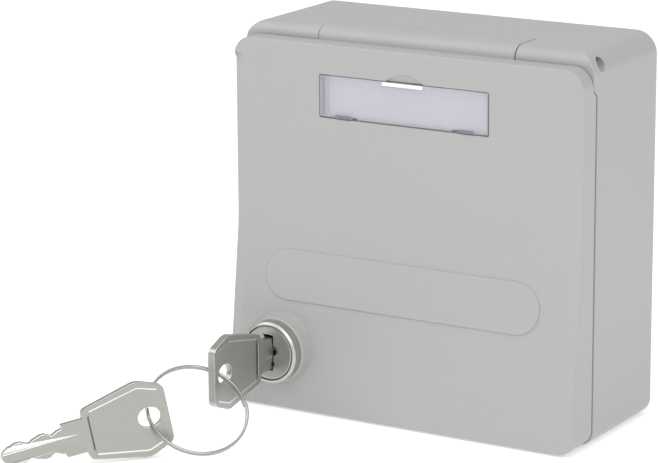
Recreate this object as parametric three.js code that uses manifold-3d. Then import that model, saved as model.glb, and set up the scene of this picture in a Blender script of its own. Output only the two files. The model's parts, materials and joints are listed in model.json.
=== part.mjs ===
// Small lockable bait station: a wall-backed base housing, a top-hinged lid with a label window and
// a wafer cam lock, two keys on a split ring, and a bait chamber behind the lid.
// Millimetres, +Z up. The origin is the middle of the base's underside; the wall is at +Y and the
// lid faces -Y.
import * as THREE from 'three';
import { mergeVertices } from 'three/addons/utils/BufferGeometryUtils.js';
import Module from 'manifold-3d';

// ---- Driving dimensions ------------------------------------------------------------------------
const WIDTH = 100;
const HEIGHT = 100;
const HALF = WIDTH / 2;
const WALL_Y = 16.8;            // rear face of the base
const BASE_FRONT = -16.3;       // front edge of the base's side walls
const CHEEK_FRONT = -18.5;      // front of the hinge cheeks
const BASE_CORNER = { low: 4, high: 5.8 };
const BASE_WALL = 2.4;
const GAP = 0.3;                // clearance between neighbouring pieces

const PIN = { y: -13.8, z: 96.6, radius: 1.8, bore: 2.1 };
const ROUND = 3.5;              // rounding of the top front edge about the hinge
const KNUCKLE_HALF = 28;        // half length of the lid's hinge knuckle
const KNUCKLE_REAR = 6.1;       // from the pin axis back to the knuckle's rear edge

const LID_REAR = -17.2;
const LID_FRONT = -24.45;       // upper front plane of the lid
const LID_BOTTOM = 0.3;
const LID_TOP = 96.65;
const LID_CORNER = { low: 4.4, high: 5.2 };
const LID_WALL = 2.2;
// The flat bevel along each side of the lid; it fades out just below the top corners.
const BEVEL = { width: 3.2, depth: 1, fadeFrom: 91.2, fadeTo: 92.4 };
// How far the lid's lower half stands forward of its upper plane, as height and offset.
const BELLY = [[-1, 3.3], [8, 3.4], [12.5, 3.8], [15, 3.9], [46, 0.25], [50, 0],
  [BEVEL.fadeFrom, 0], [BEVEL.fadeTo, 0], [100, 0]];

const WINDOW = { half: 24.4, low: 77.8, high: 89, depth: 3 };
const PILL = { halfLength: 39.7, middle: 35.85, radius: 6.6, proud: 0.35 };

const LOCK = { x: -34.2, z: 16.7, front: -34.5, boss: -31.45, rear: -12.2 };
const KEY = {
  shoulder: -39.15, bow: 21.65, blade: 21.4, thickness: 2, bladeHalf: 4.2,
  shoulderHalf: 6.3, widestAt: 15, widestHalf: 9.8, endHalf: 7.2, hole: 16.65,
};
const RING = { radius: 12.75, wire: 0.34, pitch: 0.76 };

const wasm = await Module();
wasm.setup();

// ---- Solids from three.js geometry ---------------------------------------------------------------
function solidFromArrays(positions, triangles) {
  const build = (list) => new wasm.Manifold(new wasm.Mesh({
    numProp: 3,
    vertProperties: new Float32Array(positions),
    triVerts: new Uint32Array(list),
  }));
  const first = build(triangles);
  if (first.volume() > 0) return first;
  const flipped = [];
  for (let i = 0; i < triangles.length; i += 3) {
    flipped.push(triangles[i], triangles[i + 2], triangles[i + 1]);
  }
  return build(flipped);
}

function solid(geometry) {
  const plain = geometry.clone();
  plain.deleteAttribute('normal');
  plain.deleteAttribute('uv');
  const merged = mergeVertices(plain, 1e-4);
  const index = merged.index.array;
  const triangles = [];
  for (let i = 0; i < index.length; i += 3) {
    const [a, b, c] = [index[i], index[i + 1], index[i + 2]];
    if (a !== b && b !== c && a !== c) triangles.push(a, b, c);
  }
  return solidFromArrays(merged.attributes.position.array, triangles);
}

function box(x0, x1, y0, y1, z0, z1) {
  const geometry = new THREE.BoxGeometry(x1 - x0, y1 - y0, z1 - z0);
  return solid(geometry.translate((x0 + x1) / 2, (y0 + y1) / 2, (z0 + z1) / 2));
}

function extrude(shape, depth, curveSegments = 6) {
  return new THREE.ExtrudeGeometry(shape, { depth, bevelEnabled: false, curveSegments });
}

// A shape drawn in X and Z, extruded from y0 to y1.
function alongY(shape, y0, y1, curveSegments) {
  const geometry = extrude(shape, y1 - y0, curveSegments).rotateX(Math.PI / 2);
  return solid(geometry.translate(0, y1, 0));
}

// A shape drawn in Y and Z, extruded from x0 to x1.
function alongX(shape, x0, x1, curveSegments) {
  const turn = new THREE.Matrix4().makeBasis(
    new THREE.Vector3(0, 1, 0), new THREE.Vector3(0, 0, 1), new THREE.Vector3(1, 0, 0));
  return solid(extrude(shape, x1 - x0, curveSegments).applyMatrix4(turn).translate(x0, 0, 0));
}

// A shape drawn in X and Y, extruded from z0 to z1.
function alongZ(shape, z0, z1, curveSegments) {
  return solid(extrude(shape, z1 - z0, curveSegments).translate(0, 0, z0));
}

function polygon(points) {
  return new THREE.Shape(points.map(([a, b]) => new THREE.Vector2(a, b)));
}

// The corners at b0 have a radius of their own where low is given.
function roundedRect(a0, a1, b0, b1, r, low = r) {
  const shape = new THREE.Shape();
  shape.moveTo(a0 + low, b0);
  shape.lineTo(a1 - low, b0).absarc(a1 - low, b0 + low, low, -Math.PI / 2, 0);
  shape.lineTo(a1, b1 - r).absarc(a1 - r, b1 - r, r, 0, Math.PI / 2);
  shape.lineTo(a0 + r, b1).absarc(a0 + r, b1 - r, r, Math.PI / 2, Math.PI);
  shape.lineTo(a0, b0 + low).absarc(a0 + low, b0 + low, low, Math.PI, 1.5 * Math.PI);
  return shape;
}

function disc(a, b, radius) {
  return new THREE.Shape().absarc(a, b, radius, 0, 2 * Math.PI);
}

const cylinderX = (y, z, r, x0, x1, n = 10) => alongX(disc(y, z, r), x0, x1, n);
const cylinderY = (x, z, r, y0, y1, n = 10) => alongY(disc(x, z, r), y0, y1, n);
const cylinderZ = (x, y, r, z0, z1, n = 10) => alongZ(disc(x, y, r), z0, z1, n);

// A profile of [radius, y] points turned about an axis along Y through (x, z).
function turnedY(profile, x, z, segments = 32) {
  const points = profile.map(([r, y]) => new THREE.Vector2(r, y));
  return solid(new THREE.LatheGeometry(points, segments).translate(x, 0, z));
}

// Rings of equal point count, joined one to the next and capped.
function loft(rings) {
  const count = rings[0].length;
  const positions = rings.flat(2);
  const triangles = [];
  for (let ring = 0; ring + 1 < rings.length; ring += 1) {
    for (let i = 0; i < count; i += 1) {
      const [a, b] = [ring * count + i, ring * count + (i + 1) % count];
      triangles.push(a, b, b + count, a, b + count, a + count);
    }
  }
  const last = (rings.length - 1) * count;
  for (let i = 1; i + 1 < count; i += 1) {
    triangles.push(0, i + 1, i, last, last + i, last + i + 1);
  }
  return solidFromArrays(positions, triangles);
}

// ---- The scene graph -----------------------------------------------------------------------------
const station = new THREE.Group();
station.name = 'station';

const finish = (color, roughness, metalness = 0) => ({ color, roughness, metalness });
const FINISH = {
  housing: finish(0xbabcb9, 0.5),
  window: finish(0xc9c6d6, 0.15),
  card: finish(0xf2f1f4, 0.8),
  zinc: finish(0xaaa8a4, 0.35, 0.9),
  key: finish(0xb4b4aa, 0.35, 0.9),
  steel: finish(0xb8babc, 0.3, 1),
  tray: finish(0x3a3d40, 0.6),
  bait: finish(0x4d8a7d, 0.9),
};

function group(name, parent = station) {
  const made = new THREE.Group();
  made.name = name;
  parent.add(made);
  return made;
}

function place(name, body, finishName, parent) {
  const mesh = body.getMesh();
  const geometry = new THREE.BufferGeometry();
  geometry.setAttribute('position', new THREE.BufferAttribute(mesh.vertProperties, 3));
  geometry.setIndex(new THREE.BufferAttribute(mesh.triVerts, 1));
  geometry.computeVertexNormals();
  const made = new THREE.Mesh(geometry, new THREE.MeshStandardMaterial(FINISH[finishName]));
  made.name = name;
  parent.add(made);
}

// ---- Base housing --------------------------------------------------------------------------------
const ENTRANCE = { y0: -5.5, y1: 13.5, z0: 3.6, straight: 15.5 };
const BAFFLE = { x0: -16.4, x1: -14.6, front: -13.6, rear: 14.1, top: 62 };
const ROD = { y: -1, z: 33, x0: -10.5, x1: 43.5, radius: 1.5 };
const CLIP_X = [-8.5, 41.5];
const CLIP_PLATE = 12.3;        // front of the rod clips' back plates
const WALL_HOLES = [[-30, 82], [30, 82], [0, 70]];
const SCREW_BOSS_Z = 43;

// Side profile of the base, with the rounded hinge edge and the step in its front edge.
function baseProfile() {
  const shape = new THREE.Shape();
  shape.moveTo(WALL_Y, 0);
  shape.lineTo(BASE_FRONT, 0);
  shape.lineTo(BASE_FRONT, 89.1);
  shape.lineTo(CHEEK_FRONT + 0.4, 90.6);
  shape.lineTo(CHEEK_FRONT, 93);
  shape.lineTo(CHEEK_FRONT, HEIGHT - ROUND);
  shape.absarc(CHEEK_FRONT + ROUND, HEIGHT - ROUND, ROUND, Math.PI, Math.PI / 2, true);
  shape.lineTo(WALL_Y, HEIGHT);
  return shape;
}

function archShape(y0, y1, z0, straight) {
  const radius = (y1 - y0) / 2;
  const shape = new THREE.Shape();
  shape.moveTo(y0, z0);
  shape.lineTo(y1, z0);
  shape.absarc(y0 + radius, straight, radius, 0, Math.PI);
  return shape;
}

// The inner lip that the closed lid covers, on both sides and along the bottom.
function innerLip() {
  const inset = HALF - 4;
  const ring = (outer, y0, y1) => {
    const edge = HALF - outer;
    return alongY(roundedRect(-outer, outer, edge, HEIGHT, 4), y0, y1, 4)
      .subtract(alongY(roundedRect(-inset, inset, 4.1, HEIGHT, 3), y0 - 1, y1 + 1, 4));
  };
  const lip = ring(HALF - 2.85, -18.6, BASE_FRONT + 0.1)
    .add(ring(HALF - BASE_WALL + 0.1, BASE_FRONT, -14));
  return lip.intersect(box(-HALF, HALF, -20, 0, 0, 86));
}

function baffleRibs() {
  const ribs = [];
  for (const x of [BAFFLE.x0 - GAP - 1.4, BAFFLE.x1 + GAP]) {
    ribs.push(box(x, x + 1.4, 12.2, WALL_Y - 1, 1, BAFFLE.top));
    ribs.push(box(x, x + 1.4, -13, WALL_Y - 1, 1, 4.2));
  }
  return ribs;
}

function baseHousing() {
  const inner = HALF - BASE_WALL;
  const outline = roundedRect(-HALF, HALF, 0, HEIGHT, BASE_CORNER.high, BASE_CORNER.low);
  const outer = alongY(outline, CHEEK_FRONT, WALL_Y, 8)
    .intersect(alongX(baseProfile(), -HALF, HALF, 8));
  const hollow = alongY(roundedRect(-inner, inner, BASE_WALL, HEIGHT - BASE_WALL, 2.8),
    -30, WALL_Y - BASE_WALL, 4)
    .intersect(alongX(polygon([[WALL_Y, 0], [-30, 0], [-30, 91.8], [-10.2, 91.8], [-10.2, HEIGHT],
      [WALL_Y, HEIGHT]]), -HALF, HALF));
  let body = outer.subtract(hollow).add(innerLip());
  for (const rib of baffleRibs()) body = body.add(rib);
  for (const [x, z] of WALL_HOLES) {
    body = body.add(cylinderY(x, z, 5, 12.4, WALL_Y - 1, 8));
    body = body.subtract(cylinderY(x, z, 2.4, 10, 20, 6));
  }
  for (const x of CLIP_X) {
    body = body.subtract(cylinderY(x, SCREW_BOSS_Z, 1.4, 10, 15.8, 5));
  }
  const swing = Math.hypot(KNUCKLE_REAR, HEIGHT - PIN.z) + GAP;
  const knuckleGap = KNUCKLE_HALF + GAP;
  body = body.subtract(cylinderX(PIN.y, PIN.z, swing, -knuckleGap, knuckleGap, 16));
  body = body.subtract(cylinderX(PIN.y, PIN.z, PIN.bore, -47, HALF + 1, 12));
  const { y0, y1, z0, straight } = ENTRANCE;
  body = body.subtract(alongX(archShape(y0, y1, z0, straight), -HALF - 1, -HALF + 6, 12));
  for (const x of [LOCK.x - 6, LOCK.x + 6]) {
    body = body.subtract(cylinderZ(x, -2, 1.3, 1, 5, 5));
  }
  return body;
}

function hingePin() {
  return cylinderX(PIN.y, PIN.z, PIN.radius, -46.7, 47.2, 12);
}

// ---- What the base holds -------------------------------------------------------------------------
function keeperPlate() {
  const profile = polygon([[-13.4, 2.7], [1.5, 2.7], [1.5, 3.9], [-11.6, 3.9], [-11.6, 8.2],
    [-13.4, 8.2]]);
  let plate = alongX(profile, LOCK.x - 10, LOCK.x + 10);
  for (const x of [LOCK.x - 6, LOCK.x + 6]) {
    plate = plate.subtract(cylinderZ(x, -2, 1.6, 2, 5, 5));
  }
  return plate;
}

function panScrewZ(x, y, seat, tip, shank, head) {
  const profile = [[0, tip], [shank, tip + 0.5], [shank, seat], [head, seat], [head, seat + 0.8],
    [head * 0.7, seat + 1.5], [0, seat + 1.5]];
  const points = profile.map(([r, z]) => new THREE.Vector2(r, z));
  const geometry = new THREE.LatheGeometry(points, 12).rotateX(Math.PI / 2);
  const slots = box(-head, head, -0.3, 0.3, seat + 1, seat + 3)
    .add(box(-0.3, 0.3, -head, head, seat + 1, seat + 3));
  return solid(geometry).subtract(slots.intersect(cylinderZ(0, 0, head * 0.6, seat, seat + 3, 8)))
    .translate([x, y, 0]);
}

function baffle() {
  const sheet = box(BAFFLE.x0, BAFFLE.x1, BAFFLE.front, BAFFLE.rear, 2.7, BAFFLE.top);
  const way = alongX(archShape(-6, 12, 0, 16), BAFFLE.x0 - 1, BAFFLE.x1 + 1, 10);
  return sheet.subtract(way);
}

function baitTray() {
  const tray = alongZ(roundedRect(-12, 45.5, -13.6, 13.6, 4), 2.75, 13, 4);
  const hollow = alongZ(roundedRect(-10.6, 44.1, -12.2, 12.2, 2.8), 4.2, 20, 4);
  const dip = alongX(roundedRect(-8, 8, 8.5, 30, 3), -14, -8, 4);
  return tray.subtract(hollow).subtract(dip);
}

function baitRod() {
  return cylinderX(ROD.y, ROD.z, ROD.radius, ROD.x0, ROD.x1, 12);
}

function rodClip(x) {
  const arm = roundedRect(-4.6, 14.1, ROD.z - 3.6, ROD.z + 3.6, 3);
  const clip = alongX(arm, x - 1.2, x + 1.2, 4)
    .add(box(x - 4, x + 4, CLIP_PLATE, 14.1, ROD.z - 6, SCREW_BOSS_Z + 5));
  return clip.subtract(cylinderX(ROD.y, ROD.z, ROD.radius + GAP, x - 3, x + 3, 12))
    .subtract(cylinderY(x, SCREW_BOSS_Z, 1.7, 10, 16, 8));
}

function clipScrew(x) {
  const seat = CLIP_PLATE - GAP;
  const profile = [[0, seat - 1.5], [1.9, seat - 1.5], [2.8, seat - 0.8], [2.8, seat], [1.1, seat],
    [1.1, 15.2], [0, 15.5]];
  const slots = box(-1.7, 1.7, seat - 3, seat - 1, -0.3, 0.3)
    .add(box(-0.3, 0.3, seat - 3, seat - 1, -1.7, 1.7));
  return turnedY(profile, 0, 0, 12).subtract(slots).translate([x, 0, SCREW_BOSS_Z]);
}

// A pressed bait block: a fluted square bar with a hole for the rod.
function baitBlock(x0, length) {
  const shape = new THREE.Shape();
  const steps = 48;
  for (let i = 0; i < steps; i += 1) {
    const angle = (2 * Math.PI * i) / steps;
    const square = 10.6 / Math.max(Math.abs(Math.cos(angle)), Math.abs(Math.sin(angle)));
    const radius = Math.min(square, 12.6) - 0.6 * (1 + Math.cos(16 * angle)) / 2;
    const [y, z] = [ROD.y + radius * Math.cos(angle), ROD.z - 0.3 + radius * Math.sin(angle)];
    if (i === 0) shape.moveTo(y, z);
    else shape.lineTo(y, z);
  }
  return alongX(shape, x0, x0 + length)
    .subtract(cylinderX(ROD.y, ROD.z - 0.3, ROD.radius + 0.7, x0 - 1, x0 + length + 1, 10));
}

// ---- Lid -----------------------------------------------------------------------------------------
// The lid's bulk at every height: straight sides, bevelled front corners and the forward belly.
function lidBulk(side, rear, grow) {
  const rings = BELLY.map(([z, out]) => {
    const front = LID_FRONT - out - grow;
    const corner = side - BEVEL.width;
    const edge = front + (z < BEVEL.fadeTo ? BEVEL.depth : 0.01);
    return [[-side, rear, z], [side, rear, z], [side, edge, z], [corner, front, z],
      [-corner, front, z], [-side, edge, z]];
  });
  return loft(rings);
}

function lidOutline(inset, y0, y1, segments) {
  const side = HALF - inset;
  const outline = roundedRect(-side, side, LID_BOTTOM + inset, LID_TOP - inset,
    LID_CORNER.high - inset, LID_CORNER.low - inset);
  return alongY(outline, y0, y1, segments);
}

function knuckle() {
  const shape = new THREE.Shape();
  const rear = PIN.y + KNUCKLE_REAR;
  shape.moveTo(rear, HEIGHT - 2.2);
  shape.lineTo(rear, HEIGHT);
  shape.lineTo(CHEEK_FRONT + ROUND, HEIGHT);
  shape.absarc(CHEEK_FRONT + ROUND, HEIGHT - ROUND, ROUND, Math.PI / 2, Math.PI);
  shape.lineTo(-22, HEIGHT - ROUND);
  shape.lineTo(-22, LID_TOP - LID_WALL);
  shape.lineTo(-18.4, LID_TOP - LID_WALL);
  shape.lineTo(-16.2, 93.3);
  shape.lineTo(-11.8, 93.3);
  shape.lineTo(-10.4, 95);
  shape.lineTo(-10.4, HEIGHT - 2.2);
  return alongX(shape, -KNUCKLE_HALF, KNUCKLE_HALF, 8)
    .subtract(cylinderX(PIN.y, PIN.z, PIN.bore, -40, 40, 12));
}

// The room that the base's hinge cheeks need behind the lid's top edge.
function cheekRoom() {
  return alongX(polygon([[-5, 87.5], [-16.5, 88.8], [CHEEK_FRONT + 0.05, 90.44],
    [CHEEK_FRONT - 0.35, 92.95], [CHEEK_FRONT - 0.4, 110], [-5, 110]]), -60, 60);
}

function windowPocket() {
  return box(-WINDOW.half, WINDOW.half, -40, LID_FRONT + WINDOW.depth, WINDOW.low, WINDOW.high);
}

// A shallow round dip over the window whose floor slopes back towards the window's edge.
function thumbScoop() {
  const radius = 8.75;
  const top = WINDOW.high + 1.85;
  const slope = polygon([[-40, top + 1], [-40, WINDOW.high - 1], [LID_FRONT + 0.95, WINDOW.high - 0.1],
    [LID_FRONT + 0.1, top]]);
  return cylinderY(0.45, top - radius, radius, -40, LID_FRONT + 1.2, 24)
    .intersect(alongX(slope, -10, 10));
}

function pill() {
  const { halfLength, middle, radius, proud } = PILL;
  const shape = roundedRect(-halfLength, halfLength, middle - radius, middle + radius,
    radius - 0.01);
  return alongY(shape, -40, LID_FRONT + 0.5, 10)
    .intersect(lidBulk(HALF, LID_REAR, proud));
}

function lockBoss() {
  const flare = [[0, -24], [9.6, -24], [9.6, -27], [9.02, -28.8], [8.75, -30.1], [8.6, -31.1],
    [8.3, LOCK.boss], [0, LOCK.boss]];
  return turnedY(flare, LOCK.x, LOCK.z, 32).add(cylinderY(LOCK.x, LOCK.z, 10.6, -26.4, -21, 14));
}

function lidShell() {
  const bulk = lidBulk(HALF, LID_REAR, 0).intersect(lidOutline(0, -40, LID_REAR, 8));
  const hollow = lidBulk(HALF - LID_WALL, 0, -LID_WALL)
    .intersect(lidOutline(LID_WALL, -40, 0, 6));
  const pocketWall = box(-26.2, 26.2, LID_FRONT + 0.5, LID_FRONT + 4.4, 76.2, 90.7);
  return bulk.subtract(hollow)
    .add(pocketWall)
    .add(pill())
    .add(lockBoss())
    .subtract(cheekRoom())
    .add(knuckle())
    .subtract(windowPocket())
    .subtract(thumbScoop())
    .subtract(cylinderY(LOCK.x, LOCK.z, 7.5, -40, 0, 12));
}

function labelCard() {
  const back = LID_FRONT + WINDOW.depth - GAP;
  const half = WINDOW.half - 1.8;
  return box(-half, half, back - 0.4, back, WINDOW.low + 0.6, WINDOW.high - 0.6);
}

// The clear window: a front plate with a side wall at each end, a pry lip and two pivot tabs.
function labelWindow() {
  const half = WINDOW.half - GAP;
  const front = LID_FRONT + 0.1;
  const [low, high] = [WINDOW.low + GAP, WINDOW.high - 0.35];
  let cover = box(-half, half, front, front + 1.1, low, high);
  for (const side of [-1, 1]) {
    const [x0, x1] = [side * half, side * (half - 0.9)].sort((a, b) => a - b);
    cover = cover.add(box(x0, x1, front, front + 2.4, low, high));
    const tab = side < 0 ? -17.2 : 17.9;
    cover = cover.add(box(tab - 2.4, tab + 2.4, front - 0.25, front + 0.9, low, low + 1));
  }
  return cover.add(box(-5.8, 5.8, front - 0.5, front + 0.5, high - 1.3, high - 0.2));
}

// ---- Lock ----------------------------------------------------------------------------------------
function lockHousing() {
  const { front, rear } = LOCK;
  const seat = LOCK.boss - GAP;
  const profile = [[7.35, front + 0.15], [7.6, front], [7.9, front], [8.15, front + 0.4],
    [8.15, seat], [7.2, seat], [7.2, rear], [5.9, rear], [5.9, front + 1.8], [7.35, front + 1.8],
    [7.35, front + 0.15]];
  return turnedY(profile, LOCK.x, LOCK.z, 28);
}

function lockWasher() {
  return cylinderY(LOCK.x, LOCK.z, 10.3, -20.7, -19.9, 12)
    .subtract(cylinderY(LOCK.x, LOCK.z, 7.5, -22, -18, 12));
}

function lockNut() {
  const points = [];
  for (let i = 0; i < 6; i += 1) {
    const angle = Math.PI / 2 + (i * Math.PI) / 3;
    points.push([LOCK.x + 11.2 * Math.cos(angle), LOCK.z + 11.2 * Math.sin(angle)]);
  }
  return alongY(polygon(points), -19.6, -16.6)
    .subtract(cylinderY(LOCK.x, LOCK.z, 7.5, -22, -15, 12));
}

function lockPlug() {
  const { front, rear } = LOCK;
  const tail = rear + 4;
  const profile = [[0, front + 0.8], [5.2, front + 0.45], [6.5, front + 0.1], [7.05, front + 0.2],
    [7.05, front + 1.5], [5.6, front + 1.5], [5.6, rear + 1.2], [0, rear + 1.2]];
  const square = box(LOCK.x - 2.9, LOCK.x + 2.9, rear, tail - 0.3, LOCK.z - 2.9, LOCK.z + 2.9);
  const keyway = box(LOCK.x - 1.3, LOCK.x + 1.3, front - 2, KEY.shoulder + KEY.blade + 0.6,
    LOCK.z - KEY.bladeHalf - 0.4, LOCK.z + KEY.bladeHalf + 0.4);
  return turnedY(profile, LOCK.x, LOCK.z, 28)
    .add(square)
    .subtract(keyway)
    .subtract(cylinderY(LOCK.x, LOCK.z, 1.75, -13.9, 0, 6));
}

function lockCam() {
  const [y0, y1] = [LOCK.rear + 1.5, LOCK.rear + 3.5];
  const blade = roundedRect(LOCK.x - 5, LOCK.x + 12, LOCK.z - 4, LOCK.z + 4, 3.9);
  return alongY(blade, y0, y1, 6)
    .subtract(box(LOCK.x - 3.2, LOCK.x + 3.2, y0 - 1, y1 + 1, LOCK.z - 3.2, LOCK.z + 3.2));
}

function camWasher() {
  const y0 = LOCK.rear + 4;
  return cylinderY(LOCK.x, LOCK.z, 4.6, y0, y0 + 0.8, 8)
    .subtract(cylinderY(LOCK.x, LOCK.z, 1.75, y0 - 1, y0 + 2, 6));
}

function camScrew() {
  const seat = LOCK.rear + 5.1;
  const profile = [[0, seat - 6.4], [1.35, seat - 6], [1.35, seat], [3.3, seat], [3.3, seat + 1],
    [2.4, seat + 1.8], [0, seat + 1.8]];
  const slots = box(-1.9, 1.9, seat + 1.2, seat + 3, -0.35, 0.35)
    .add(box(-0.35, 0.35, seat + 1.2, seat + 3, -1.9, 1.9));
  return turnedY(profile, 0, 0, 12).subtract(slots).translate([LOCK.x, 0, LOCK.z]);
}

// ---- Keys and ring -------------------------------------------------------------------------------
// A key lies in its own X and Y: the shoulder at X = 0, the bow towards +X and the blade towards -X.
function keySolid() {
  const t = KEY.thickness;
  const outline = new THREE.Shape();
  outline.moveTo(0, -KEY.bladeHalf);
  outline.lineTo(0, 1.2 - KEY.shoulderHalf);
  outline.quadraticCurveTo(0, -KEY.shoulderHalf, 1.4, -KEY.shoulderHalf - 0.35);
  outline.lineTo(KEY.widestAt - 0.8, -KEY.widestHalf + 0.1);
  outline.quadraticCurveTo(KEY.widestAt, -KEY.widestHalf, KEY.widestAt + 1.2, 0.35 - KEY.widestHalf);
  outline.lineTo(KEY.bow - 1.6, -KEY.endHalf - 0.7);
  outline.quadraticCurveTo(KEY.bow, -KEY.endHalf, KEY.bow, 1.4 - KEY.endHalf);
  outline.lineTo(KEY.bow, KEY.endHalf - 1.4);
  outline.quadraticCurveTo(KEY.bow, KEY.endHalf, KEY.bow - 1.6, KEY.endHalf + 0.7);
  outline.lineTo(KEY.widestAt + 1.2, KEY.widestHalf - 0.35);
  outline.quadraticCurveTo(KEY.widestAt, KEY.widestHalf, KEY.widestAt - 0.8, KEY.widestHalf - 0.1);
  outline.lineTo(1.4, KEY.shoulderHalf + 0.35);
  outline.quadraticCurveTo(0, KEY.shoulderHalf, 0, KEY.shoulderHalf - 1.2);
  outline.lineTo(0, KEY.bladeHalf);
  // The cut edges, from the shoulder to the tip as distance and depth of cut.
  const cuts = [[5.3, 0], [5.5, 1.1], [7.2, 1.5], [8.2, 2], [9.8, 1.1], [11, 1.1], [13.1, 1.8],
    [14.4, 2.3], [16.6, 1.4], [18.6, 1.8], [20.2, 2.4], [KEY.blade, 3.7]];
  for (const [x, cut] of cuts) outline.lineTo(-x, KEY.bladeHalf - cut);
  for (const [x, cut] of [...cuts].reverse()) outline.lineTo(-x, cut - KEY.bladeHalf);
  const hole = new THREE.Path().absellipse(KEY.hole, 0, 3, 2.5, 0, 2 * Math.PI);
  outline.holes.push(hole);
  let body = solid(extrude(outline, t, 4).translate(0, 0, -t / 2));

  const panel = polygon([[2, -KEY.shoulderHalf + 0.9], [2, KEY.shoulderHalf - 0.9],
    [KEY.widestAt, KEY.widestHalf - 1.8], [KEY.bow - 1.7, KEY.endHalf - 0.8],
    [KEY.bow - 1.7, 0.8 - KEY.endHalf], [KEY.widestAt, 1.8 - KEY.widestHalf]]);
  for (const side of [-1, 1]) {
    const z0 = side > 0 ? t / 2 - 0.2 : -t / 2 - 1;
    body = body.subtract(solid(extrude(panel, 1.2).translate(0, 0, z0)));
    const groove = box(-KEY.blade - 1, -1.6, side * 1.25 - 0.6, side * 1.25 + 0.6, -0.5, 0.5);
    body = body.subtract(groove.translate([0, 0, side * (t / 2 + 0.05)]));
  }
  return body;
}

function placed(body, matrix) {
  return body.transform(matrix.elements);
}

function insertedKeyFrame() {
  return new THREE.Matrix4()
    .makeBasis(new THREE.Vector3(0, -1, 0), new THREE.Vector3(0, 0, 1), new THREE.Vector3(-1, 0, 0))
    .setPosition(LOCK.x, KEY.shoulder, LOCK.z);
}

// The spare key stands on its lower edge, turned and tipped about its edge on the ground.
function spareKeyFrame() {
  const frame = new THREE.Matrix4().makeRotationZ(THREE.MathUtils.degToRad(49));
  frame.multiply(new THREE.Matrix4().makeRotationX(THREE.MathUtils.degToRad(90 - 5.8)));
  frame.multiply(new THREE.Matrix4().makeRotationZ(THREE.MathUtils.degToRad(10)));
  return frame.setPosition(-52.3, -90.15, 7.2);
}

// Two turns of wire, one a pitch above the other, so that they lie side by side without touching.
class RingCoil extends THREE.Curve {
  getPoint(t) {
    const angle = 4 * Math.PI * t + 0.9;
    const lift = RING.pitch * (2 * t - 1);
    return new THREE.Vector3(RING.radius * Math.cos(angle), RING.radius * Math.sin(angle), lift);
  }
}

function splitRing() {
  const tube = new THREE.ExtrudeGeometry(disc(0, 0, RING.wire), {
    steps: 72, curveSegments: 4, bevelEnabled: false, extrudePath: new RingCoil(),
  });
  const normal = new THREE.Vector3(0.539, -0.407, 0.738).normalize();
  const turn = new THREE.Quaternion().setFromUnitVectors(new THREE.Vector3(0, 0, 1), normal);
  return solid(tube.applyQuaternion(turn).translate(-34.4, -67.25, 10.2));
}

// ---- Assembly ------------------------------------------------------------------------------------
const base = group('base');
place('base_housing', baseHousing(), 'housing', base);
place('hinge_pin', hingePin(), 'steel', base);
place('keeper_plate', keeperPlate(), 'steel', base);
place('keeper_screw_left', panScrewZ(LOCK.x - 6, -2, 4.2, 1.4, 1, 2.6), 'steel', base);
place('keeper_screw_right', panScrewZ(LOCK.x + 6, -2, 4.2, 1.4, 1, 2.6), 'steel', base);
place('baffle', baffle(), 'housing', base);
place('bait_tray', baitTray(), 'tray', base);
place('bait_rod', baitRod(), 'steel', base);
['left', 'right'].forEach((side, i) => {
  place(`rod_clip_${side}`, rodClip(CLIP_X[i]), 'tray', base);
  place(`rod_clip_screw_${side}`, clipScrew(CLIP_X[i]), 'steel', base);
});
['left', 'middle', 'right'].forEach((where, i) => {
  place(`bait_block_${where}`, baitBlock(-5.6 + 15.4 * i, 14.6), 'bait', base);
});

const lid = group('lid');
place('lid_shell', lidShell(), 'housing', lid);
place('label_card', labelCard(), 'card', lid);
place('lock_housing', lockHousing(), 'zinc', lid);
place('lock_washer', lockWasher(), 'steel', lid);
place('lock_nut', lockNut(), 'zinc', lid);
place('label_window', labelWindow(), 'window', group('window', lid));

const plug = group('plug', lid);
place('lock_plug', lockPlug(), 'zinc', plug);
place('lock_cam', lockCam(), 'steel', plug);
place('cam_washer', camWasher(), 'steel', plug);
place('cam_screw', camScrew(), 'steel', plug);

const keys = group('keys', plug);
place('key', placed(keySolid(), insertedKeyFrame()), 'key', keys);
place('split_ring', splitRing(), 'steel', keys);
place('spare_key', placed(keySolid(), spareKeyFrame()), 'key', keys);

export default station;
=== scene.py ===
"""The bait station's looks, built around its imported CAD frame.

Shapes are worked out in millimetres in the frame's axes (+Z up, the lid at -Y, the wall at +Y) and
stored in metres. Each visible piece is a solid made by sweeps and cuts, with its edges rounded."""
import json
import math

import bmesh
import bpy
from mathutils import Matrix, Vector


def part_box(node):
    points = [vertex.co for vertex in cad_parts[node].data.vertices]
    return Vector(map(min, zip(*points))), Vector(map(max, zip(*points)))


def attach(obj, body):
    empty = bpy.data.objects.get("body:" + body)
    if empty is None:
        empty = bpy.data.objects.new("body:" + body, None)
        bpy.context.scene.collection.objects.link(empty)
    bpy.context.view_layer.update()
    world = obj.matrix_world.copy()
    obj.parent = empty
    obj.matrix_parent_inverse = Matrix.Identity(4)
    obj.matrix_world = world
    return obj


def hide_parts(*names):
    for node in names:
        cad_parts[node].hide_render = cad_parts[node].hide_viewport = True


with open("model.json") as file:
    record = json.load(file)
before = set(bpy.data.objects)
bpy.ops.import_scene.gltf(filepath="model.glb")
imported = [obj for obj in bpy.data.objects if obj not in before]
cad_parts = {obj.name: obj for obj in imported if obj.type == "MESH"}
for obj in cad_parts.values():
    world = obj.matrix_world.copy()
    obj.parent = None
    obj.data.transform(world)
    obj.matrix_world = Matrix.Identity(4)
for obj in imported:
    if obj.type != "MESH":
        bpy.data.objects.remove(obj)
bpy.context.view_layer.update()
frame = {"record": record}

MM = 0.001


def node_box(node):
    low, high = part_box(node)
    return low / MM, high / MM


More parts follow.
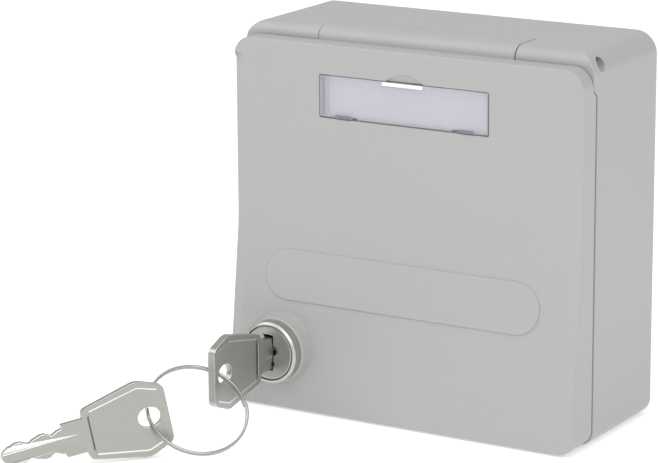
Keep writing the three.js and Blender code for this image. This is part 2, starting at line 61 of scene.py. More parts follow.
# ---- Driving dimensions, in millimetres, from the frame where it has them ------------------------
_, base_high = node_box("base_housing")
lid_low, _ = node_box("lid_shell")
pin_low, pin_high = node_box("hinge_pin")
lock_low, lock_high = node_box("lock_housing")
tray_low, tray_high = node_box("bait_tray")
baffle_low, baffle_high = node_box("baffle")
rod_low, rod_high = node_box("bait_rod")

HALF = base_high.x
HEIGHT = base_high.z
WALL_Y = base_high.y
BASE_FRONT = -16.3
CHEEK_FRONT = -18.5
BASE_CORNER = {"low": 4.0, "high": 5.8}
BASE_WALL = 2.4
GAP = 0.3
ROUND = 3.5

PIN_Y = (pin_low.y + pin_high.y) / 2
PIN_Z = (pin_low.z + pin_high.z) / 2
PIN_BORE = 2.1
PIN_MOUTH = PIN_BORE - 0.28      # the bore is narrower outside the pin's end
KNUCKLE_HALF = 28
KNUCKLE_REAR = 6.1

LID_REAR = -17.2
LID_FRONT = -24.45
LID_BOTTOM = lid_low.z
LID_TOP = 96.65
LID_CORNER = {"low": 4.4, "high": 5.2}
LID_WALL = 2.2
AHEAD = -40                     # a place in front of the whole lid, where its cuts start
# The flat bevel along each side of the lid; it fades out just below the top corners.
BEVEL = {"width": 3.2, "depth": 1.0, "fade_from": 90.6, "fade_to": 92.7}
# How far the lid's lower half stands forward of its upper plane, as height and offset.
BELLY = [(-1, 3.3), (8, 3.42), (12.5, 3.8), (15, 3.9), (17, 3.665), (44, 0.485), (46, 0.25),
         (50.1, 0), (54, 0), (100, 0)]
SMOOTH_BELLY = (8, 50.1)        # the stretch of heights that is drawn as a smooth curve
STRAIGHT_BELLY = (17, 44)

WINDOW = {"half": 24.4, "low": 77.8, "high": 89.0, "depth": 3.0}
# The window's two pivot tabs, as side and place, and its pry lip.
TABS = ((-1, -17.2), (1, 17.9))
TAB_HALF = 2.3
LIP_HALF = 5.8
BAR = {"half": 39.7, "middle": 35.85, "radius": 6.6, "proud": 0.35}

LOCK_X = (lock_low.x + lock_high.x) / 2
LOCK_Z = (lock_low.z + lock_high.z) / 2
LOCK_FRONT = lock_low.y
LOCK_REAR = lock_high.y
LOCK_SEAT = -31.75
LOCK_HOLE = 7.5

KEY = {"bow": 21.65, "blade": 21.4, "thickness": 2.0, "blade_half": 4.2,
       "shoulder_half": 6.3, "widest_at": 15.0, "widest_half": 9.8, "end_half": 7.2, "hole": 16.65}
RING = {"radius": 12.75, "wire": 0.34, "pitch": 0.76, "start": 0.9}


# ---- Outlines ------------------------------------------------------------------------------------
def arc(u, v, radius, start, end, steps=8):
    """Points on an arc from start to end degrees, both included."""
    angles = [math.radians(start + (end - start) * i / steps) for i in range(steps + 1)]
    return [(u + radius * math.cos(a), v + radius * math.sin(a)) for a in angles]


def disc(u, v, radius, steps=64):
    return arc(u, v, radius, 0, 360, steps)[:-1]


def rounded(u0, u1, v0, v1, radius, steps=8, low=None):
    """A rounded rectangle; the two corners at v0 have the radius low where it is given."""
    low = radius if low is None else low
    return (arc(u1 - low, v0 + low, low, -90, 0, steps) + arc(u1 - radius, v1 - radius, radius, 0, 90, steps)
            + arc(u0 + radius, v1 - radius, radius, 90, 180, steps)
            + arc(u0 + low, v0 + low, low, 180, 270, steps))


def softened(points, reach, steps=5):
    """A closed outline with each corner replaced by a curve that starts reach before it."""
    made = []
    for i, corner in enumerate(points):
        before, after = points[i - 1], points[(i + 1) % len(points)]
        ends = []
        for other in (before, after):
            run = math.dist(corner, other)
            share = min(reach, run * 0.45) / run
            ends.append([c + (o - c) * share for c, o in zip(corner, other)])
        for k in range(steps + 1):
            t = k / steps
            made.append(tuple((1 - t) ** 2 * a + 2 * t * (1 - t) * c + t * t * b
                              for a, c, b in zip(ends[0], corner, ends[1])))
    return made


# ---- Solids --------------------------------------------------------------------------------------
def solid(vertices, faces):
    mesh = bpy.data.meshes.new("solid")
    mesh.from_pydata([Vector(v) for v in vertices], [], faces)
    work = bmesh.new()
    work.from_mesh(mesh)
    bmesh.ops.recalc_face_normals(work, faces=work.faces)
    work.to_mesh(mesh)
    work.free()
    made = bpy.data.objects.new("solid", mesh)
    bpy.context.scene.collection.objects.link(made)
    return made


PLACES = {
    "x": lambda u, v, t: (t, u, v),
    "y": lambda u, v, t: (u, t, v),
    "z": lambda u, v, t: (u, v, t),
}


def stack(axis, levels):
    """Outlines of equal point count, given as (place along the axis, outline), joined and capped."""
    place = PLACES[axis]
    count = len(levels[0][1])
    vertices = [place(u, v, t) for t, outline in levels for u, v in outline]
    faces = [tuple(range(count)), tuple(range(len(vertices) - count, len(vertices)))]
    for level in range(len(levels) - 1):
        a, b = level * count, (level + 1) * count
        faces += [(a + i, a + (i + 1) % count, b + (i + 1) % count, b + i) for i in range(count)]
    return solid(vertices, faces)


def prism(axis, outline, start, end):
    return stack(axis, [(start, outline), (end, outline)])


def block(x0, x1, y0, y1, z0, z1):
    return prism("z", [(x0, y0), (x1, y0), (x1, y1), (x0, y1)], z0, z1)


def turned(profile, x=0.0, z=0.0, steps=96, closed=False):
    """A profile of (radius, y) points turned about a line along Y through (x, z)."""
    turns = [2 * math.pi * k / steps for k in range(steps)]
    vertices = [(x + r * math.cos(a), y, z + r * math.sin(a)) for r, y in profile for a in turns]
    rows = len(profile)
    faces = []
    for row in range(rows if closed else rows - 1):
        a, b = row * steps, (row + 1) % rows * steps
        faces += [(a + k, a + (k + 1) % steps, b + (k + 1) % steps, b + k) for k in range(steps)]
    if not closed:
        faces += [tuple(range(steps)), tuple(range((rows - 1) * steps, rows * steps))]
    return solid(vertices, faces)


def settle(target):
    """Replaces a solid's mesh by what its modifiers make of it."""
    graph = bpy.context.evaluated_depsgraph_get()
    mesh = bpy.data.meshes.new_from_object(target.evaluated_get(graph))
    target.modifiers.clear()
    target.data = mesh
    return target


def combine(target, operation, tools):
    for tool in tools:
        modifier = target.modifiers.new("combine", "BOOLEAN")
        modifier.operation = operation
        modifier.solver = "EXACT"
        modifier.object = tool
        settle(target)
        bpy.data.objects.remove(tool)
    return target


def cut(target, *tools):
    return combine(target, "DIFFERENCE", tools)


def add(target, *tools):
    return combine(target, "UNION", tools)


def meet(target, *tools):
    return combine(target, "INTERSECT", tools)


def clean(target):
    """Merges the points and flat faces that cuts leave too close together."""
    work = bmesh.new()
    work.from_mesh(target.data)
    bmesh.ops.remove_doubles(work, verts=work.verts, dist=0.004)
    bmesh.ops.dissolve_limit(work, angle_limit=math.radians(0.3), verts=work.verts, edges=work.edges)
    work.to_mesh(target.data)
    work.free()
    return target


def soften(target, width=0.22, segments=3, angle=35):
    """Rounds the edges that turn by more than angle degrees."""
    clean(target)
    modifier = target.modifiers.new("soften", "BEVEL")
    modifier.width = width
    modifier.segments = segments
    modifier.limit_method = "ANGLE"
    modifier.angle_limit = math.radians(angle)
    modifier.use_clamp_overlap = False
    modifier.miter_outer = "MITER_ARC"
    return settle(target)


# ---- Materials -----------------------------------------------------------------------------------
def linked(tree, source, target):
    tree.links.new(source, target)


def surface(name, colour, roughness, metallic=0.0, mottle=0.03, mottle_size=6.0, grain=0.25,
            depth=0.01, stretch=(1, 1, 1), spread=0.08):
    """A finish whose colour and roughness wander over mottle_size mm, with a grain of that size in mm."""
    made = bpy.data.materials.new(name)
    made.use_nodes = True
    tree = made.node_tree
    shader = tree.nodes["Principled BSDF"]
    shader.inputs["Metallic"].default_value = metallic
    place = tree.nodes.new("ShaderNodeTexCoord")
    mapping = tree.nodes.new("ShaderNodeMapping")
    mapping.inputs["Scale"].default_value = stretch
    linked(tree, place.outputs["Object"], mapping.inputs["Vector"])

    clouds = tree.nodes.new("ShaderNodeTexNoise")
    clouds.inputs["Scale"].default_value = 1 / (mottle_size * MM)
    clouds.inputs["Detail"].default_value = 5
    linked(tree, mapping.outputs["Vector"], clouds.inputs["Vector"])

    tint = tree.nodes.new("ShaderNodeMix")
    tint.data_type = "RGBA"
    tint.inputs["A"].default_value = (*[c * (1 - mottle) for c in colour], 1)
    tint.inputs["B"].default_value = (*[min(1, c * (1 + mottle)) for c in colour], 1)
    linked(tree, clouds.outputs["Fac"], tint.inputs["Factor"])
    linked(tree, tint.outputs["Result"], shader.inputs["Base Color"])

    wear = tree.nodes.new("ShaderNodeMapRange")
    wear.inputs["To Min"].default_value = max(0.02, roughness - spread)
    wear.inputs["To Max"].default_value = min(1, roughness + spread)
    linked(tree, clouds.outputs["Fac"], wear.inputs["Value"])
    linked(tree, wear.outputs["Result"], shader.inputs["Roughness"])

    speckle = tree.nodes.new("ShaderNodeTexNoise")
    speckle.inputs["Scale"].default_value = 1 / (grain * MM)
    speckle.inputs["Detail"].default_value = 2
    linked(tree, mapping.outputs["Vector"], speckle.inputs["Vector"])
    bump = tree.nodes.new("ShaderNodeBump")
    bump.inputs["Strength"].default_value = 0.6
    bump.inputs["Distance"].default_value = depth * MM
    linked(tree, speckle.outputs["Fac"], bump.inputs["Height"])
    linked(tree, bump.outputs["Normal"], shader.inputs["Normal"])
    return made


def housing_finish():
    return surface("moulded_grey", (0.374, 0.384, 0.372), 0.36, mottle=0.012, mottle_size=14,
                   grain=0.45, depth=0.012, spread=0.04)


def window_finish():
    made = surface("clear_window", (0.62, 0.61, 0.675), 0.12, mottle=0.02, mottle_size=9, grain=1.5,
                   depth=0.006, spread=0.03)
    shader = made.node_tree.nodes["Principled BSDF"]
    shader.inputs["Alpha"].default_value = 0.42
    shader.inputs["Coat Weight"].default_value = 0.4
    shader.inputs["Coat Roughness"].default_value = 0.08
    return made


def bait_finish():
    """Pressed grain in coloured wax: a teal body with paler and darker crumbs."""
    made = surface("pressed_bait", (0.05, 0.24, 0.2), 0.7, mottle=0.2, mottle_size=3, grain=0.8,
                   depth=0.25, spread=0.12)
    tree = made.node_tree
    shader = tree.nodes["Principled BSDF"]
    body = shader.inputs["Base Color"].links[0].from_socket
    place = next(n for n in tree.nodes if n.type == "MAPPING")
    crumbs = tree.nodes.new("ShaderNodeTexVoronoi")
    crumbs.inputs["Scale"].default_value = 1 / (1.6 * MM)
    linked(tree, place.outputs["Vector"], crumbs.inputs["Vector"])
    ramp = tree.nodes.new("ShaderNodeValToRGB")
    ramp.color_ramp.elements[0].position = 0.12
    ramp.color_ramp.elements[0].color = (1, 1, 1, 1)
    ramp.color_ramp.elements[1].position = 0.3
    ramp.color_ramp.elements[1].color = (0, 0, 0, 1)
    linked(tree, crumbs.outputs["Distance"], ramp.inputs["Fac"])
    blend = tree.nodes.new("ShaderNodeMix")
    blend.data_type = "RGBA"
    blend.inputs["B"].default_value = (0.3, 0.42, 0.3, 1)
    linked(tree, ramp.outputs["Color"], blend.inputs["Factor"])
    linked(tree, body, blend.inputs["A"])
    linked(tree, blend.outputs["Result"], shader.inputs["Base Color"])
    return made


FINISH = {
    "housing": housing_finish(),
    "window": window_finish(),
    # Painted shade: a dark, opaque copy of the window's tint for its end walls and the tab faces under the
    # plate.
    "window_end_painted_shade": surface("window_end_painted_shade", (0.17, 0.16, 0.24), 0.3, mottle=0.04, mottle_size=4, grain=0.6,
                          depth=0.004),
    # Painted highlight: a near-white copy for the pry lip's front, where the clear plastic catches the light.
    "window_lip_painted_highlight": surface("window_lip_painted_highlight", (0.93, 0.93, 0.95), 0.3, mottle=0.01, mottle_size=3, grain=0.6,
                          depth=0.004),
    "card": surface("label_card", (0.72, 0.72, 0.735), 0.75, mottle=0.02, mottle_size=2, grain=0.3,
                    depth=0.02),
    "lock_metal": surface("satin_nickel", (0.5, 0.495, 0.475), 0.38, metallic=1.0, mottle=0.05,
                          mottle_size=3, grain=0.12, depth=0.002, spread=0.06),
    "plug_metal": surface("worn_nickel", (0.38, 0.373, 0.36), 0.38, metallic=1.0, mottle=0.06,
                          mottle_size=3, grain=0.12, depth=0.002, spread=0.06),
    # The two keys are one nickel painted in two tones: the inserted key's copy is painted brighter for the
    # light it catches and reflects from the lid.
    "key_metal": surface("inserted_key_nickel_lit", (0.45, 0.45, 0.43), 0.36, metallic=1.0, mottle=0.05,
                         mottle_size=4, grain=0.15, depth=0.002, stretch=(1, 1, 4), spread=0.07),
    # Painted highlight: a near-white copy of the key nickel for the groove sides and panel edges that catch
    # the light.
    "key_painted_highlight": surface("painted_key_glint", (0.86, 0.86, 0.83), 0.28, metallic=1.0, mottle=0.03,
                          mottle_size=4, grain=0.15, depth=0.001, stretch=(1, 1, 4)),
    "pin_metal": surface("dull_pin", (0.33, 0.335, 0.325), 0.6, metallic=0.6, mottle=0.04, mottle_size=3,
                         grain=0.2, depth=0.003),
    # Painted shade: the spare key's copy of the same nickel, painted a little darker than the inserted key's.
    "spare_metal_shaded_copy": surface("spare_key_nickel_shaded", (0.41, 0.408, 0.385), 0.36, metallic=1.0, mottle=0.05,
                           mottle_size=4, grain=0.15, depth=0.002, stretch=(1, 1, 4), spread=0.07),
    "wire": surface("ring_wire", (0.42, 0.42, 0.41), 0.2, metallic=1.0, mottle=0.06,
                    mottle_size=3, grain=0.2, depth=0.002, spread=0.05),
    "steel": surface("bright_zinc", (0.62, 0.62, 0.62), 0.28, metallic=1.0, mottle=0.06,
                     mottle_size=3, grain=0.2, depth=0.002, spread=0.08),
    "tray": surface("dark_tray", (0.035, 0.038, 0.042), 0.5, mottle=0.08, mottle_size=8, grain=0.35,
                    depth=0.015),
    "bait": bait_finish(),
}


# ---- Pieces --------------------------------------------------------------------------------------
BODY_OF = {node: body for body, nodes in frame["record"]["behaviour"]["bodies"].items()
           for node in nodes}


def piece(name, made, slot, node, matrix=Matrix.Identity(4), finish=None):
    """Turns a solid in millimetres into a shown piece that stands for a CAD node."""
    made.data.transform(Matrix.Scale(MM, 4) @ matrix)
    if not any(made.data.materials):
        made.data.materials.clear()
        made.data.materials.append(finish or FINISH[slot])
    made.data.shade_smooth()
    made.data.set_sharp_from_angle(angle=math.radians(50))
    made.name = name
    made.data.name = name
    shading = made.modifiers.new("weighted", "WEIGHTED_NORMAL")
    shading.keep_sharp = True
    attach(made, BODY_OF[node])
    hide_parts(node)
    return made


# ---- Base housing --------------------------------------------------------------------------------
ENTRANCE = {"y0": -5.5, "y1": 13.5, "z0": 3.6, "straight": 15.5}
WALL_HOLES = [(-30, 82), (30, 82), (0, 70)]
CLIP_X = [-8.5, 41.5]
CLIP_BOSS_Z = 43
KEEPER_HOLES = [LOCK_X - 6, LOCK_X + 6]


def arch(y0, y1, z0, straight):
    radius = (y1 - y0) / 2
    return [(y0, z0), (y1, z0), *arc(y0 + radius, straight, radius, 0, 180, 24)]


def base_profile():
    top = HEIGHT - ROUND
    return [(WALL_Y, 0), (BASE_FRONT, 0), (BASE_FRONT, 89.1), (CHEEK_FRONT + 0.4, 90.6),
            (CHEEK_FRONT, 93), *arc(CHEEK_FRONT + ROUND, top, ROUND, 180, 90, 10), (WALL_Y, HEIGHT)]


def inner_lip():
    """The lip that the closed lid covers, along both sides and the bottom."""
    made = None
    for outer, y0, y1 in ((HALF - 2.85, -18.6, BASE_FRONT + 0.1), (HALF - 2.3, BASE_FRONT, -14)):
        edge = HALF - outer
        ring = cut(prism("y", rounded(-outer, outer, edge, HEIGHT, 4), y0, y1),
                   prism("y", rounded(4 - HALF, HALF - 4, 4.1, HEIGHT, 3), y0 - 1, y1 + 1))
        made = ring if made is None else add(made, ring)
    return meet(made, block(-HALF, HALF, -20, 0, 0, 86))


def base_shell():
    inner = HALF - BASE_WALL
    rear = WALL_Y - BASE_WALL
    outline = rounded(-HALF, HALF, 0, HEIGHT, BASE_CORNER["high"], 16, BASE_CORNER["low"])
    outer = meet(prism("y", outline, CHEEK_FRONT - 1, WALL_Y),
                 prism("x", base_profile(), -HALF - 1, HALF + 1))
    hollow_side = [(rear, 0), (-30, 0), (-30, 91.8), (-10.2, 91.8), (-10.2, HEIGHT), (rear, HEIGHT)]
    hollow = meet(prism("y", rounded(-inner, inner, BASE_WALL, HEIGHT - BASE_WALL, 2.8), -31, rear),
                  prism("x", hollow_side, -HALF, HALF))
    cut(outer, hollow)
    add(outer, inner_lip())
    for x in (baffle_low.x - GAP - 1.4, baffle_high.x + GAP):
        add(outer, block(x, x + 1.4, 12.2, WALL_Y - 1, 1, baffle_high.z),
            block(x, x + 1.4, -13, WALL_Y - 1, 1, 4.2))
    for x, z in WALL_HOLES:
        add(outer, prism("y", disc(x, z, 5, 40), 12.4, WALL_Y - 1))
        cut(outer, prism("y", disc(x, z, 2.4, 32), 10, 20),
            turned([(4.4, 12), (4.4, 12.5), (2.4, 14.4), (2.2, 15)], x, z, 32))
    for x in CLIP_X:
        cut(outer, prism("y", disc(x, CLIP_BOSS_Z, 1.4, 24), 10, 15.8))
    swing = math.hypot(KNUCKLE_REAR, HEIGHT - PIN_Z) + GAP
    knuckle_gap = KNUCKLE_HALF + GAP
    cut(outer, prism("x", disc(PIN_Y, PIN_Z, swing, 96), -knuckle_gap, knuckle_gap),
        prism("x", arch(**ENTRANCE), -HALF - 1, -HALF + 6))
    for x in KEEPER_HOLES:
        cut(outer, prism("z", disc(x, -2, 1.3, 24), 1, 5))
    soften(outer, 0.25)
    mouth = pin_high.x + 0.2
    return clean(cut(outer, prism("x", disc(PIN_Y, PIN_Z, PIN_BORE, 64), -47, mouth),
                     prism("x", disc(PIN_Y, PIN_Z, PIN_MOUTH, 64), mouth - 0.1, HALF + 1)))


# ---- Lid -----------------------------------------------------------------------------------------
def belly(z):
    """The forward offset at a height: a smooth curve through the belly's points."""
    points = BELLY
    if z >= points[-1][0]:
        return points[-1][1]
    k = max(i for i in range(len(points) - 1) if points[i][0] <= z)
    (z0, a), (z1, b) = points[k], points[k + 1]

    def slope(i):
        before, after = points[max(0, i - 1)], points[min(len(points) - 1, i + 1)]
        return (after[1] - before[1]) / (after[0] - before[0])

    t = (z - z0) / (z1 - z0)
    m0, m1 = slope(k) * (z1 - z0), slope(k + 1) * (z1 - z0)
    return ((2 * t ** 3 - 3 * t ** 2 + 1) * a + (t ** 3 - 2 * t ** 2 + t) * m0
            + (3 * t ** 2 - 2 * t ** 3) * b + (t ** 3 - t ** 2) * m1)


def belly_heights():
    low, high = SMOOTH_BELLY
    steps = [low + 0.75 * i for i in range(int((high - low) / 0.75) + 1)]
    curved = [z for z in steps if not STRAIGHT_BELLY[0] < z < STRAIGHT_BELLY[1]]
    fade = [BEVEL["fade_from"] + (BEVEL["fade_to"] - BEVEL["fade_from"]) * i / 6 for i in range(7)]
    return sorted({-1, 2, 5, *curved, *STRAIGHT_BELLY, high, 52, 54, *fade, HEIGHT})


def bevel_depth(z):
    t = (z - BEVEL["fade_from"]) / (BEVEL["fade_to"] - BEVEL["fade_from"])
    t = min(1, max(0, t))
    return BEVEL["depth"] * (1 - t * t * (3 - 2 * t)) + 0.004


def lid_bulk(side, rear, grow):
    """The lid's bulk inside straight sides: the forward belly with a flat bevel along each side."""
    width = BEVEL["width"]
    wide = HALF + 2
    levels = []
    for z in belly_heights():
        front = LID_FRONT - belly(z) - grow
        slope = bevel_depth(z) / width
        edge = side - width
        half = [(wide, front + slope * (wide - edge)), (edge + 0.3, front + slope * 0.3),
                (edge, front + slope * 0.09), (edge - 0.3, front)]
        levels.append((z, [(-wide, rear), (wide, rear), *half, *[(-x, y) for x, y in reversed(half)]]))
    return stack("z", levels)


def lid_outline(inset, steps=14):
    """The lid's outline in X and Z, with points at the belly's heights along its sides."""
    side = HALF - inset
    corners = rounded(-side, side, LID_BOTTOM + inset, LID_TOP - inset, LID_CORNER["high"] - inset,
                      steps, LID_CORNER["low"] - inset)
    low, high = LID_BOTTOM + LID_CORNER["low"], LID_TOP - LID_CORNER["high"]
    heights = [z for z in belly_heights() if low + 0.3 < z < high - 0.3]
    split = steps + 1
    right, left = [(side, z) for z in heights], [(-side, z) for z in reversed(heights)]
    return corners[:split] + right + corners[split:3 * split] + left + corners[3 * split:]


def lid_rim():
    """The lid's outer walls, turned over into the front face by a small rounding all the way round."""
    turn = [(0, 0.42), (0.05, 0.24), (0.14, 0.1), (0.28, 0.02), (0.5, -0.04)]
    outlines = [lid_outline(inset) for inset, _ in turn]
    count = len(outlines[0])
    vertices = [(x, LID_REAR, z) for x, z in outlines[0]]
    for outline, (_, drop) in zip(outlines, turn):
        for x, z in outline:
            over = max(0, abs(x) - (HALF - BEVEL["width"])) / BEVEL["width"]
            vertices.append((x, LID_FRONT - belly(z) + over * bevel_depth(z) + drop, z))
    vertices += [(x, AHEAD, z) for x, z in outlines[-1]]
    rows = len(vertices) // count
    faces = [tuple(range(count)), tuple(range((rows - 1) * count, rows * count))]
    for row in range(rows - 1):
        a, b = row * count, (row + 1) * count
        faces += [(a + i, a + (i + 1) % count, b + (i + 1) % count, b + i) for i in range(count)]
    return solid(vertices, faces)


def knuckle():
    rear = PIN_Y + KNUCKLE_REAR
    top = HEIGHT - ROUND
    outline = [(rear, HEIGHT - 2.2), (rear, HEIGHT),
               *arc(CHEEK_FRONT + ROUND, top, ROUND, 90, 180, 10), (-22, top),
               (-22, LID_TOP - LID_WALL), (-18.4, LID_TOP - LID_WALL), (-16.2, 93.3), (-11.8, 93.3),
               (-10.4, 95), (-10.4, HEIGHT - 2.2)]
    return cut(prism("x", outline, -KNUCKLE_HALF - 0.15, KNUCKLE_HALF + 0.05),
               prism("x", disc(PIN_Y, PIN_Z, PIN_BORE, 40), -40, 40))


def raised_bar():
    half, middle, radius = BAR["half"], BAR["middle"], BAR["radius"]
    shape = (arc(half - radius, middle, radius, -90, 90, 24)
             + arc(radius - half, middle, radius, 90, 270, 24))
    made = meet(prism("y", shape, AHEAD, LID_FRONT + 0.5), lid_bulk(HALF, LID_REAR, BAR["proud"]))
    return soften(made, 0.26, 4, 50)


def lock_boss():
    """The flared plastic collar that the lock's head sits in."""
    flare = [(9.6, -24), (9.6, -27), (9.34, -27.8), (9.08, -28.6), (8.9, -29.4), (8.77, -30.1),
             (8.67, -30.7), (8.58, -31.15), (8.42, -31.38), (8.15, -31.45)]
    return add(turned(flare, LOCK_X, LOCK_Z, 128),
               prism("y", disc(LOCK_X, LOCK_Z, 10.6, 64), -26.4, -21))


def thumb_scoop():
    """A shallow round dip over the window whose floor slopes back towards the window's edge."""
    radius, rise = 8.75, 1.85
    top = WINDOW["high"] + rise
    slope = [(AHEAD, top + 1), (AHEAD, WINDOW["high"] - 1), (LID_FRONT + 0.6, WINDOW["high"] - 0.1),
             (LID_FRONT + 0.1, top)]
    return meet(prism("y", disc(0.45, top - radius, radius, 128), AHEAD, LID_FRONT + 1.2),
                prism("x", slope, -10, 10))


def lid_panel():
    bulk = meet(lid_rim(), lid_bulk(HALF, -10, 0))
    hollow = meet(prism("y", lid_outline(LID_WALL, 8), AHEAD, 1), lid_bulk(HALF - LID_WALL, 2, -LID_WALL))
    cut(bulk, hollow)
    add(bulk, block(-26.2, 26.2, LID_FRONT + 0.5, LID_FRONT + 4.4, 76.2, 90.7))
    cheek_room = [(-5, 87.5), (-16.5, 88.8), (CHEEK_FRONT + 0.05, 90.44), (CHEEK_FRONT - 0.35, 92.95),
                  (CHEEK_FRONT - 0.4, 110), (-5, 110)]
    cut(bulk, prism("x", cheek_room, -60, 60))
    add(bulk, knuckle())
    pocket = rounded(-WINDOW["half"], WINDOW["half"], WINDOW["low"], WINDOW["high"], 0.5, 4)
    cut(bulk, prism("y", pocket, AHEAD, LID_FRONT + WINDOW["depth"]), thumb_scoop())
    soften(bulk, 0.1, 2, 58)
    add(bulk, raised_bar(), lock_boss())
    return clean(cut(bulk, prism("y", disc(LOCK_X, LOCK_Z, LOCK_HOLE, 96), AHEAD, 0)))


def window_cover():
    """A clear plate with an end wall at each side, a pry lip on top and two pivot tabs below."""
    low, _ = node_box("label_window")
    half = WINDOW["half"] - 0.2
    front = LID_FRONT + 0.1
    bottom, top = WINDOW["low"] + 0.35, WINDOW["high"] - 0.22
    levels = [(front + depth, rounded(inset - half, half - inset, bottom + inset, top - inset, 0.3, 4))
              for depth, inset in ((0, 0.12), (0.03, 0.05), (0.1, 0), (1.1, 0))]
    made = stack("y", levels)
    for side, tab in TABS:
        x0, x1 = sorted((side * (half - 0.02), side * (half - 0.9)))
        add(made, block(x0, x1, front + 0.5, front + 2.4, bottom + 0.2, top - 0.2))
        add(made, block(tab - TAB_HALF, tab + TAB_HALF, low.y + 0.1, front + 0.9, bottom - 0.05, bottom + 0.6))
        gap0, gap1 = sorted((tab - side * 2.4, tab - side * 4.0))
        cut(made, block(gap0, gap1, front - 1, front + 2, bottom - 1, bottom + 0.4))
    lip = (-LIP_HALF, LIP_HALF, top - 0.9, top - 0.1)
    add(made, prism("y", rounded(*lip, 0.3, 4), low.y, front + 0.5))
    clean(made)
    for finish in ("window", "window_end_painted_shade", "window_lip_painted_highlight"):
        made.data.materials.append(FINISH[finish])
    for face in made.data.polygons:
        x, y, z = face.center
        # Painted shade: the end walls' rear faces and the tab faces under the plate take the dark copy of the
        # tint.
        if (y > front + 1 and abs(x) > half - 1) or (y < front - 0.02 and z < bottom + 1):
            face.material_index = 1
        # Painted highlight: the pry lip's front faces take the near-white copy.
        if y < front - 0.02 and z > lip[2] - 0.01:
            face.material_index = 2
    return made


def label_card():
    low, high = node_box("label_card")
    card = rounded(low.x, high.x, low.z, high.z, 0.6, 6)
    return soften(prism("y", card, low.y, high.y), 0.06, 2, 50)


# ---- Lock ----------------------------------------------------------------------------------------
def lock_head():
    front = LOCK_FRONT
    profile = [(7.3, front + 0.6), (7.3, front + 0.14), (7.33, front + 0.05), (7.4, front),
               (7.52, front), (7.62, front + 0.05), (7.95, front + 0.4), (8.08, front + 0.52),
               (8.15, front + 0.68), (8.15, LOCK_SEAT), (7.2, LOCK_SEAT), (7.2, LOCK_REAR),
               (5.9, LOCK_REAR), (5.9, front + 1.8), (7.3, front + 1.8)]
    return turned(profile, LOCK_X, LOCK_Z, 128, closed=True)


def keyway():
    """The warded slot: straight on the blade's left, stepped on its right."""
    outline = [(-1.3, -4.6), (1.2, -4.6), (1.2, -3.5), (1.5, -3.3), (1.5, -2.7), (1.17, -2.5),
               (1.17, -0.75), (1.6, -0.5), (1.65, 0.25), (1.2, 0.5), (1.14, 2.2), (1.3, 4.2),
               (1.25, 4.72), (-1.6, 4.86), (-1.6, 4.55), (-1.3, 4.5)]
    moved = [(LOCK_X + x, LOCK_Z + z) for x, z in outline]
    return prism("y", moved, LOCK_FRONT - 2, LOCK_FRONT + 16.5)


def lock_plug():
    front = LOCK_FRONT
    dish = [(0.9, front + 0.95), (2.2, front + 0.78), (3.6, front + 0.58), (5.0, front + 0.36),
            (6.1, front + 0.16), (6.6, front + 0.1), (6.9, front + 0.12), (7.05, front + 0.24)]
    profile = [*dish, (7.05, front + 1.5), (5.6, front + 1.5), (5.6, LOCK_REAR + 1.2)]
    square = block(LOCK_X - 2.9, LOCK_X + 2.9, LOCK_REAR, LOCK_REAR + 3.7, LOCK_Z - 2.9, LOCK_Z + 2.9)
    made = turned(profile, LOCK_X, LOCK_Z, 96)
    add(made, square)
    dimple = turned([(1.5, front - 1), (1.5, front + 0.7), (1.1, front + 1.15), (0.5, front + 1.5)],
                    LOCK_X + 0.9, LOCK_Z + 0.3, 32)
    cut(made, dimple, keyway(), prism("y", disc(LOCK_X, LOCK_Z, 1.75, 24), LOCK_REAR - 1.7, 0))
    return soften(made, 0.07, 2, 45)


def ring_plate(node, hole, width=0.12, sides=64):
    """A round washer in the lock's line."""
    low, high = node_box(node)
    radius = (high.x - low.x) / 2
    made = cut(prism("y", disc(LOCK_X, LOCK_Z, radius, sides), low.y, high.y),
               prism("y", disc(LOCK_X, LOCK_Z, hole, 48), low.y - 1, high.y + 1))
    return soften(made, width, 2, 50)


def lock_nut():
    low, high = node_box("lock_nut")
    radius = (high.z - low.z) / 2
    hexagon = [(LOCK_X + radius * math.cos(a), LOCK_Z + radius * math.sin(a))
               for a in [math.pi / 2 + i * math.pi / 3 for i in range(6)]]
    crown = turned([(radius * 0.9, low.y), (radius, low.y + 0.7), (radius, high.y - 0.7),
                    (radius * 0.9, high.y)], LOCK_X, LOCK_Z, 64)
    made = meet(prism("y", hexagon, low.y, high.y), crown)
    cut(made, prism("y", disc(LOCK_X, LOCK_Z, LOCK_HOLE, 64), low.y - 1, high.y + 1))
    return soften(made, 0.12, 2, 50)


def lock_cam():
    low, high = node_box("lock_cam")
    blade = rounded(low.x, high.x, low.z, high.z, (high.z - low.z) / 2 - 0.05, 14)
    hole = rounded(LOCK_X - 3.2, LOCK_X + 3.2, LOCK_Z - 3.2, LOCK_Z + 3.2, 0.3, 3)
    made = cut(prism("y", blade, low.y, high.y), prism("y", hole, low.y - 1, high.y + 1))
    return soften(made, 0.2, 3, 50)


# ---- Screws --------------------------------------------------------------------------------------
def screw(shank, head, length, cross):
    """A cross-headed screw along -Y, its head towards -Y and its seat at y = 0, with a cut thread."""
    profile = [(head * 0.45, -head * 0.55), (head * 0.8, -head * 0.38), (head, -head * 0.16),
               (head, 0), (shank * 0.8, 0)]
    turns = int(length / 0.55)
    for i in range(turns):
        y = 0.3 + i * (length - 0.8) / turns
        profile += [(shank * 0.8, y), (shank, y + 0.2), (shank * 0.8, y + 0.4)]
    profile.append((shank * 0.35, length))
    made = turned(profile, 0, 0, 32)
    arm, deep = cross, head * 0.32
    cut(made, block(-arm, arm, -head, -head * 0.55 + deep, -arm * 0.19, arm * 0.19),
        block(-arm * 0.19, arm * 0.19, -head, -head * 0.55 + deep, -arm, arm))
    return made


